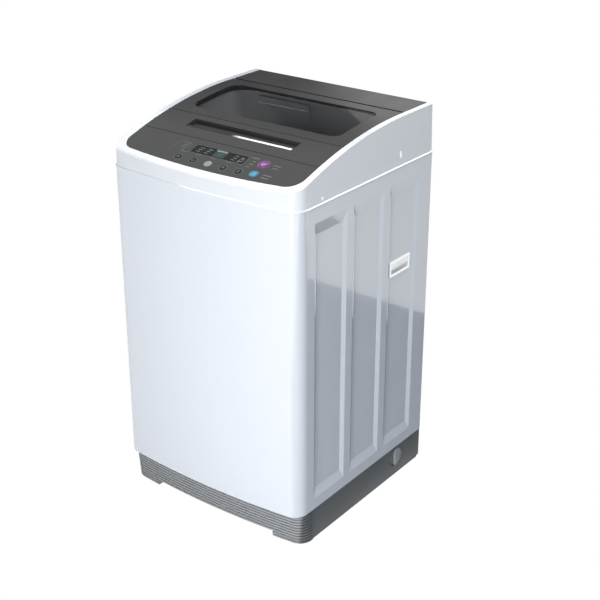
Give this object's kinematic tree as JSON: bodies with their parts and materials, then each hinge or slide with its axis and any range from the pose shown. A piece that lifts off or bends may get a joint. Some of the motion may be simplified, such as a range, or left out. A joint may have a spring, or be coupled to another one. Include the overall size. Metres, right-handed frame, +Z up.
{
  "type": "top load washing machine",
  "caption": "Free-standing top load washer: bowed steel cabinet, crowned cover with folding windowed lid and keys, grey plinth, hung tub, basket, agitator and belt drive.",
  "frame": {"origin": "centre of the machine's bounding box at floor level", "axes": "+X to the machine's right, +Y to its back, +Z up; the controls face -Y"},
  "size_m": [0.54, 0.545, 0.9575],
  "materials": {
    "white_shell": "gloss",
    "white_paint": "gloss enamel",
    "dark_panel": "satin",
    "smoked_glass": "smoked",
    "plinth_grey": "fine moulded grain",
    "black_rubber": "matt",
    "zinc_steel": "zinc plated",
    "stainless": "brushed",
    "white_plastic": "moulded",
    "tub_plastic": "moulded",
    "cast_alloy": "as cast",
    "bright_trim": "bright",
    "display_black": "gloss",
    "board_green": "laminate",
    "key_dark": "satin",
    "key_silver": "satin",
    "key_purple": "satin",
    "key_cyan": "satin",
    "black_paint": "satin"
  },
  "bodies": {
    "root": {"base": "plinth_grey", "rear_feet": "black_rubber", "cabinet": "white_paint", "side_grip_right": "white_shell", "side_grip_left": "white_shell", "back_panel": "zinc_steel", "casing_screws": "zinc_steel", "cord_gland": "black_rubber", "capacitor": "white_plastic", "top_cover": "white_shell", "tub_well": "white_plastic", "splash_ring": "white_plastic", "control_panel": "dark_panel", "display_window": "display_black", "control_board": "board_green", "rear_fascia": "dark_panel", "hinge_brackets": "white_plastic", "drawer_housing": "white_plastic", "inlet_valve": "white_plastic", "pressure_sensor": "white_plastic", "drain_socket": "plinth_grey", "drain_hose": "black_rubber", "corner_brackets": "zinc_steel", "suspension_rods": "zinc_steel"},
    "foot_left": {"levelling_foot_left": "black_rubber"},
    "foot_right": {"levelling_foot_right": "black_rubber"},
    "lid_rear": {"lid_frame": "dark_panel", "lid_window": "smoked_glass", "lid_pins": "zinc_steel"},
    "lid_front": {"lid_front_panel": "dark_panel", "handle_strip": "bright_trim"},
    "drawer": {"detergent_drawer": "white_plastic"},
    "cap": {"drain_cap": "plinth_grey"},
    "tub": {"outer_tub": "tub_plastic", "tub_ring": "tub_plastic", "suspension_cups": "white_plastic", "suspension_springs": "zinc_steel", "drain_bellows": "black_rubber", "drain_valve": "white_plastic", "mounting_plate": "black_paint", "clutch_housing": "cast_alloy", "bearings": "zinc_steel", "shaft_seal": "black_rubber", "motor": "cast_alloy", "drive_belt": "black_rubber"},
    "basket": {"basket": "stainless", "balance_ring": "white_plastic", "basket_hub": "cast_alloy", "lint_filters": "white_plastic"},
    "pulsator": {"pulsator": "white_plastic", "wash_shaft": "stainless"},
    "drive": {"drive_pulley": "cast_alloy"},
    "rotor": {"motor_pulley": "cast_alloy"},
    "key_function_button_1": {"function_button_1": "key_dark"},
    "key_function_button_2": {"function_button_2": "key_dark"},
    "key_function_button_3": {"function_button_3": "key_silver"},
    "key_function_button_4": {"function_button_4": "key_dark"},
    "key_function_button_5": {"function_button_5": "key_dark"},
    "key_program_button": {"program_button": "key_purple"},
    "key_power_button": {"power_button": "key_cyan"}
  },
  "joints": [
    {"name": "lid_hinge", "type": "hinge", "parent": "root", "child": "lid_rear", "pos_m": [0, 0.16125, 0.9505], "axis": [-1, 0, 0], "range_deg": [0, 90]},
    {"name": "lid_fold", "type": "hinge", "parent": "lid_rear", "child": "lid_front", "pos_m": [0, -0.0705, 0.92311], "axis": [1, 0, 0], "range_deg": [0, 162]},
    {"name": "detergent_drawer_slide", "type": "slide", "parent": "root", "child": "drawer", "axis": [0, -1, 0], "range_m": [0, 0.09]},
    {"name": "drain_cap_turn", "type": "hinge", "parent": "root", "child": "cap", "pos_m": [0.26, 0.1595, 0.054], "axis": [1, 0, 0], "range_deg": [0, 90]},
    {"name": "foot_left_adjust", "type": "slide", "parent": "root", "child": "foot_left", "axis": [0, 0, -1], "range_m": [0, 0.01]},
    {"name": "foot_right_adjust", "type": "slide", "parent": "root", "child": "foot_right", "axis": [0, 0, -1], "range_m": [0, 0.01]},
    {"name": "tub_bounce", "type": "slide", "parent": "root", "child": "tub", "axis": [0, 0, 1], "range_m": [-0.025, 0.012], "stiffness_N_per_m": 24000, "springref_m": 0.0097, "deforming": ["suspension_springs", "drain_bellows"]},
    {"name": "basket_spin", "type": "hinge", "parent": "tub", "child": "basket", "pos_m": [0, 0.005, 0.5], "axis": [0, 0, 1], "continuous": true},
    {"name": "drive_spin", "type": "hinge", "parent": "tub", "child": "drive", "pos_m": [0, 0.005, 0.125], "axis": [0, 0, 1], "continuous": true},
    {"name": "motor_spin", "type": "hinge", "parent": "tub", "child": "rotor", "pos_m": [0, -0.13, 0.125], "axis": [0, 0, 1], "continuous": true},
    {"name": "pulsator_spin", "type": "hinge", "parent": "tub", "child": "pulsator", "pos_m": [0, 0.005, 0.31], "axis": [0, 0, 1], "continuous": true},
    {"name": "function_button_1_press", "type": "slide", "parent": "root", "child": "key_function_button_1", "axis": [0, 0.3293, -0.9442], "range_m": [0, 0.0012], "stiffness_N_per_m": 700, "springref_m": -0.0008},
    {"name": "function_button_2_press", "type": "slide", "parent": "root", "child": "key_function_button_2", "axis": [0, 0.3293, -0.9442], "range_m": [0, 0.0012], "stiffness_N_per_m": 700, "springref_m": -0.0008},
    {"name": "function_button_3_press", "type": "slide", "parent": "root", "child": "key_function_button_3", "axis": [0, 0.3293, -0.9442], "range_m": [0, 0.0012], "stiffness_N_per_m": 700, "springref_m": -0.0008},
    {"name": "function_button_4_press", "type": "slide", "parent": "root", "child": "key_function_button_4", "axis": [0, 0.3293, -0.9442], "range_m": [0, 0.0012], "stiffness_N_per_m": 700, "springref_m": -0.0008},
    {"name": "function_button_5_press", "type": "slide", "parent": "root", "child": "key_function_button_5", "axis": [0, 0.3293, -0.9442], "range_m": [0, 0.0012], "stiffness_N_per_m": 700, "springref_m": -0.0008},
    {"name": "program_button_press", "type": "slide", "parent": "root", "child": "key_program_button", "axis": [0, 0.2957, -0.9553], "range_m": [0, 0.0012], "stiffness_N_per_m": 700, "springref_m": -0.0008},
    {"name": "power_button_press", "type": "slide", "parent": "root", "child": "key_power_button", "axis": [0, 0.3259, -0.9454], "range_m": [0, 0.0012], "stiffness_N_per_m": 700, "springref_m": -0.0008}
  ],
  "couplings": [
    {"joint": "lid_fold", "follows": "lid_hinge", "ratio": 1.8},
    {"joint": "motor_spin", "follows": "drive_spin", "ratio": 3.1633},
    {"joint": "pulsator_spin", "follows": "drive_spin", "ratio": 0.2}
  ]
}
